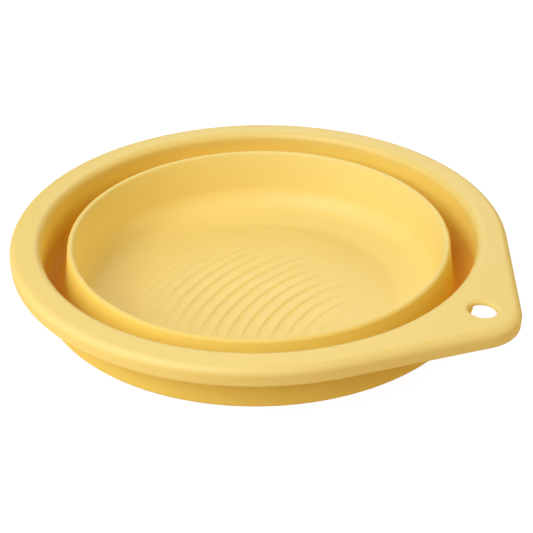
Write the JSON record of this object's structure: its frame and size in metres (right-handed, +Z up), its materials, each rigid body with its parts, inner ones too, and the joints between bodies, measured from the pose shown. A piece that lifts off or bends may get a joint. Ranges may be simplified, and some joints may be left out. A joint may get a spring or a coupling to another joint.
{
  "type": "collapsible washtub",
  "caption": "Round washtub with a wide rim, a teardrop hang tab, a washboard floor and a soft wall that turns over so the tub folds flat or stands tall.",
  "frame": {"origin": "centre of the flat underside of the base, on the tub's axis", "axes": "+Z up along the tub's axis, +X from the axis towards the hang tab"},
  "size_m": [0.3889, 0.36, 0.064],
  "materials": {
    "rim_plastic": "satin moulded polypropylene, pale yellow",
    "soft_wall": "matte moulded elastomer, pale yellow",
    "base_plastic": "satin moulded polypropylene, pale yellow"
  },
  "bodies": {
    "basin": {"base": "base_plastic", "basin_wall": "soft_wall", "lip_fold": "soft_wall"},
    "flip_lower": {"flip_wall_lower": "soft_wall"},
    "flip_middle": {"flip_wall_middle": "soft_wall"},
    "flip_upper": {"flip_wall_upper": "soft_wall"},
    "rim": {"rim": "rim_plastic", "outer_wall": "soft_wall", "lower_fold": "soft_wall"}
  },
  "joints": [
    {"name": "rim_lift", "type": "slide", "parent": "basin", "child": "rim", "axis": [0, 0, 1], "range_m": [0, 0.0525]},
    {"name": "flip_lower_lift", "type": "slide", "parent": "basin", "child": "flip_lower", "axis": [0, 0, 1], "range_m": [0, 0.0438]},
    {"name": "flip_middle_lift", "type": "slide", "parent": "basin", "child": "flip_middle", "axis": [0, 0, 1], "range_m": [0, 0.0263]},
    {"name": "flip_upper_lift", "type": "slide", "parent": "basin", "child": "flip_upper", "axis": [0, 0, 1], "range_m": [0, 0.0088]}
  ],
  "couplings": [
    {"joint": "flip_lower_lift", "follows": "rim_lift", "ratio": 0.83333},
    {"joint": "flip_middle_lift", "follows": "rim_lift", "ratio": 0.5},
    {"joint": "flip_upper_lift", "follows": "rim_lift", "ratio": 0.16667}
  ]
}
